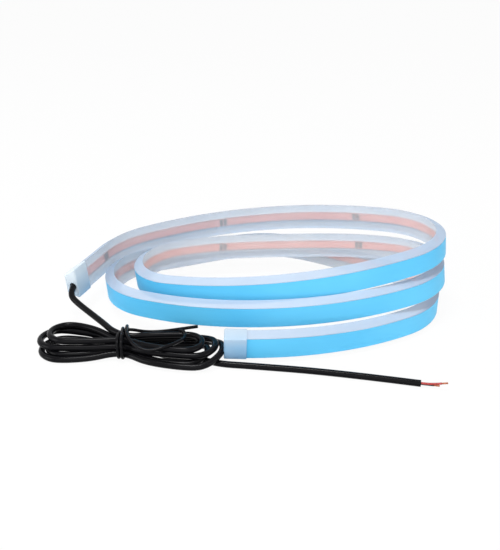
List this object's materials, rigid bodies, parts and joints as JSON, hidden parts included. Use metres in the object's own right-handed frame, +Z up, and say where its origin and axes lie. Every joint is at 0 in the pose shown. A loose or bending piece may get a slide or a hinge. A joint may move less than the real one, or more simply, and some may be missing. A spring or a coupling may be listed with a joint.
{
  "type": "daytime running light strip",
  "caption": "Flexible silicone light strip for a car, coiled on edge, with an ice-blue light face outward, capped ends and a supply cable tied into a hank.",
  "frame": {"origin": "centre of the coil's box, cable left out, on the surface it stands on", "axes": "+X along the coil's longer way, to the side where the turns are stacked; +Y to the coil's back; +Z up, along the strip's height"},
  "size_m": [0.1685, 0.1226, 0.0377],
  "materials": {
    "silicone": "satin, milky and translucent",
    "light_face": "satin, evenly ice blue",
    "cap": "satin, milky",
    "copper_film": "satin copper under a clear film",
    "tin": "dull tinned",
    "phosphor": "matt",
    "resistor": "matt",
    "jacket": "semi-gloss black",
    "tie": "semi-gloss black",
    "red_core": "satin red",
    "black_core": "satin black",
    "copper_wire": "bright copper"
  },
  "bodies": {
    "root": {"silicone_sleeve": "silicone", "diffuser_strip": "light_face", "flex_circuit": "copper_film", "led_chips": "phosphor", "resistor_chips": "resistor", "cut_pads": "tin", "blank_end_cap": "cap", "cable_end_cap": "cap", "positive_lead": "red_core", "negative_lead": "black_core", "solder_joints": "tin", "cable_hank": "jacket", "cable_lead": "jacket", "cable_tail": "jacket", "twist_tie": "tie", "positive_core": "red_core", "negative_core": "black_core", "core_strands": "copper_wire"}
  },
  "joints": []
}
